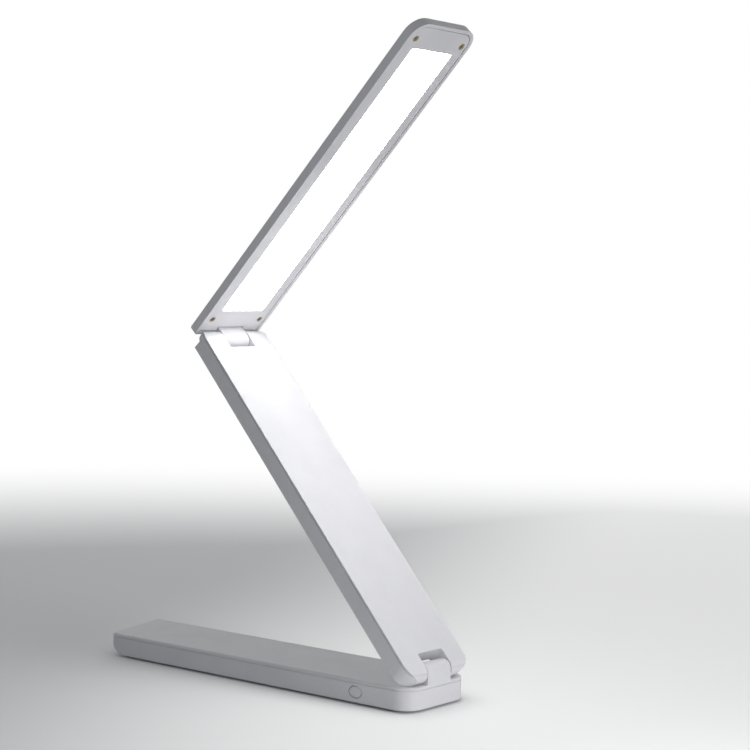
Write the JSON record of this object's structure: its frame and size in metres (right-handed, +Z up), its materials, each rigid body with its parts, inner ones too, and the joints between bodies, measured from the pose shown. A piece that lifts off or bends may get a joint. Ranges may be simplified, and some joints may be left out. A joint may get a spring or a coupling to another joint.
{
  "type": "folding led desk lamp",
  "caption": "Slim battery desk lamp of three flat bars that fold together: base with a side button, swing arm, and a light head with a lit window, on friction hinges.",
  "frame": {"origin": "under the middle of the base, on the surface that the feet stand on, with the lamp open as in the picture", "axes": "+X along the base from its free end to the hinge end, +Y across it to the side away from the button, +Z up"},
  "size_m": [0.2113, 0.045, 0.3143],
  "materials": {
    "case": "fine satin texture, white",
    "button": "smooth satin, white",
    "feet": "matt",
    "steel_screw": "zinc plated",
    "brass_screw": "plated",
    "pin": "ground",
    "washer": "plain",
    "cell_wrap": "foil pouch",
    "lead": "insulated wire",
    "board": "solder mask",
    "chip": "moulded",
    "plunger": "moulded",
    "socket": "nickel plated",
    "diffuser": "opal, lit",
    "guide": "clear acrylic",
    "reflector": "white film",
    "led": "phosphor"
  },
  "bodies": {
    "base": {"base_lower_case": "case", "base_top_cover": "case", "base_feet": "feet", "base_screws": "steel_screw", "battery_cell": "cell_wrap", "battery_leads": "lead", "control_board": "board", "board_parts": "chip", "switch_body": "chip", "charging_socket": "socket", "base_lead": "lead"},
    "button": {"power_button": "button", "switch_plunger": "plunger"},
    "arm": {"arm_rear_shell": "case", "arm_front_cover": "case", "arm_screws": "steel_screw", "arm_lead": "lead", "lower_hinge_pin": "pin", "upper_hinge_pin": "pin", "lower_friction_washers": "washer", "upper_friction_washers": "washer"},
    "head": {"head_housing": "case", "head_front_frame": "case", "head_knuckle": "case", "head_diffuser": "diffuser", "head_light_guide": "guide", "head_reflector": "reflector", "led_board": "board", "led_chips": "led", "head_screws": "brass_screw", "head_lead": "lead"}
  },
  "joints": [
    {"name": "arm_hinge", "type": "hinge", "parent": "base", "child": "arm", "pos_m": [0.10095, 0, 0.0167], "axis": [0, 1, 0], "range_deg": [-48.6, 51.4]},
    {"name": "head_hinge", "type": "hinge", "parent": "arm", "child": "head", "pos_m": [-0.03019, 0, 0.16545], "axis": [0, 1, 0], "range_deg": [-25.9, 94.1]},
    {"name": "button_press", "type": "slide", "parent": "base", "child": "button", "axis": [0, 1, 0], "range_m": [0, 0.0005], "stiffness_N_per_m": 1500, "springref_m": -0.0003}
  ]
}
